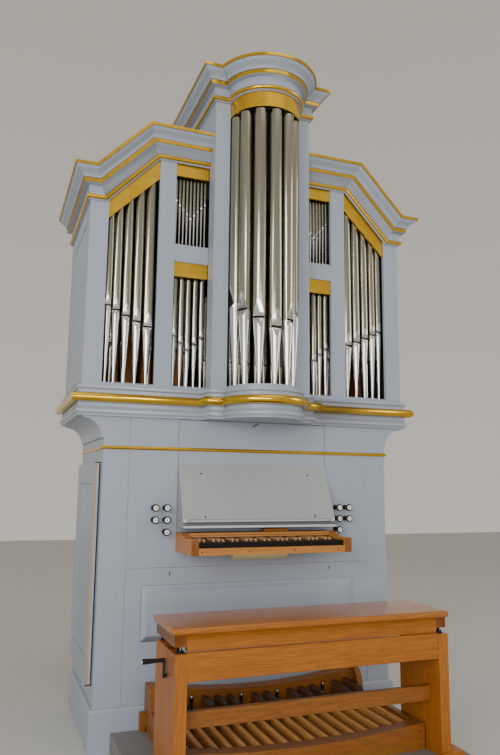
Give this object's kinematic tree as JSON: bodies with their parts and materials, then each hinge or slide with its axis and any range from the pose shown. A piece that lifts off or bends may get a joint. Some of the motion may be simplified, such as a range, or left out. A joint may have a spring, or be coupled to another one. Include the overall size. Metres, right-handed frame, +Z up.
{
  "type": "pipe organ",
  "caption": "Church pipe organ with a painted and gilded panelled case, a round pipe tower, raking cornices, a manual with stop knobs, a concave pedalboard and a crank-adjusted bench.",
  "frame": {"origin": "middle of the case's front plane, on the stone floor", "axes": "+X to the player's right, +Y into the case towards the wall, +Z up"},
  "size_m": [1.984, 1.568, 3.402],
  "materials": {
    "grey_paint": "pale blue-grey satin paint",
    "gold_leaf": "gold leaf",
    "tin": "polished tin alloy",
    "oak": "orange-brown varnished oak",
    "pale_oak": "clear varnished oak",
    "dark_wood": "black stained hardwood",
    "plain_wood": "unvarnished pine",
    "sharp_wood": "pale wood",
    "platform_grey": "grey painted boards",
    "brass": "satin brass",
    "chrome": "chromed steel",
    "iron": "blackened steel"
  },
  "bodies": {
    "organ": {"platform": "platform_grey", "plinth": "grey_paint", "lower_sides": "grey_paint", "back_boards": "plain_wood", "lower_front_frame": "grey_paint", "bottom_board": "grey_paint", "access_panel": "grey_paint", "knob_panels": "grey_paint", "centre_panel": "grey_paint", "side_coves": "grey_paint", "waist_board": "grey_paint", "thin_gold_band": "gold_leaf", "belt_moulding": "grey_paint", "gold_roll": "gold_leaf", "upper_front_frame": "grey_paint", "upper_sides": "grey_paint", "wing_roofs": "grey_paint", "wing_cornices": "grey_paint", "cornice_gilding": "gold_leaf", "pipe_shades": "gold_leaf", "tower_base": "grey_paint", "tower_posts": "grey_paint", "tower_box": "grey_paint", "tower_cornice": "grey_paint", "toe_boards": "grey_paint", "windchest": "grey_paint", "tower_pipes": "tin", "outer_pipes": "tin", "lower_inner_pipes": "tin", "upper_inner_pipes": "tin", "rear_metal_pipes": "tin", "rear_wood_pipes": "plain_wood", "music_desk": "grey_paint", "key_frame": "pale_oak", "natural_keys": "dark_wood", "sharp_keys": "sharp_wood", "pedal_lamp": "brass", "pedal_frame": "oak", "pedal_naturals": "pale_oak", "pedal_sharps": "dark_wood", "pedal_pegs": "dark_wood", "side_door_right": "grey_paint", "door_pivots": "iron", "bench_ends": "oak", "bench_rails": "oak"},
    "knob_1": {"stop_knob_1": "dark_wood"},
    "knob_2": {"stop_knob_2": "dark_wood"},
    "knob_3": {"stop_knob_3": "dark_wood"},
    "knob_4": {"stop_knob_4": "dark_wood"},
    "knob_5": {"stop_knob_5": "dark_wood"},
    "knob_6": {"stop_knob_6": "dark_wood"},
    "knob_7": {"stop_knob_7": "dark_wood"},
    "knob_8": {"stop_knob_8": "dark_wood"},
    "knob_9": {"stop_knob_9": "dark_wood"},
    "knob_10": {"stop_knob_10": "dark_wood"},
    "side_door": {"side_door_left": "grey_paint"},
    "bench_top": {"bench_seat": "oak"},
    "crank": {"bench_crank": "chrome"}
  },
  "joints": [
    {"name": "knob_1_draw", "type": "slide", "parent": "organ", "child": "knob_1", "axis": [0, -1, 0], "range_m": [0, 0.035]},
    {"name": "knob_2_draw", "type": "slide", "parent": "organ", "child": "knob_2", "axis": [0, -1, 0], "range_m": [0, 0.035]},
    {"name": "knob_3_draw", "type": "slide", "parent": "organ", "child": "knob_3", "axis": [0, -1, 0], "range_m": [0, 0.035]},
    {"name": "knob_4_draw", "type": "slide", "parent": "organ", "child": "knob_4", "axis": [0, -1, 0], "range_m": [0, 0.035]},
    {"name": "knob_5_draw", "type": "slide", "parent": "organ", "child": "knob_5", "axis": [0, -1, 0], "range_m": [0, 0.035]},
    {"name": "knob_6_draw", "type": "slide", "parent": "organ", "child": "knob_6", "axis": [0, -1, 0], "range_m": [0, 0.035]},
    {"name": "knob_7_draw", "type": "slide", "parent": "organ", "child": "knob_7", "axis": [0, -1, 0], "range_m": [0, 0.035]},
    {"name": "knob_8_draw", "type": "slide", "parent": "organ", "child": "knob_8", "axis": [0, -1, 0], "range_m": [0, 0.035]},
    {"name": "knob_9_draw", "type": "slide", "parent": "organ", "child": "knob_9", "axis": [0, -1, 0], "range_m": [0, 0.035]},
    {"name": "knob_10_draw", "type": "slide", "parent": "organ", "child": "knob_10", "axis": [0, -1, 0], "range_m": [0, 0.035]},
    {"name": "side_door_hinge", "type": "hinge", "parent": "organ", "child": "side_door", "pos_m": [-0.799, 0.065, 0.79], "axis": [0, 0, 1], "range_deg": [0, 105]},
    {"name": "bench_height", "type": "slide", "parent": "organ", "child": "bench_top", "axis": [0, 0, 1], "range_m": [0, 0.1]},
    {"name": "crank_turn", "type": "hinge", "parent": "organ", "child": "crank", "pos_m": [-0.6, -0.645, 0.482], "axis": [-1, 0, 0], "range_deg": [0, 3600]}
  ],
  "couplings": [
    {"joint": "crank_turn", "follows": "bench_height", "rad_per_m": 628}
  ]
}
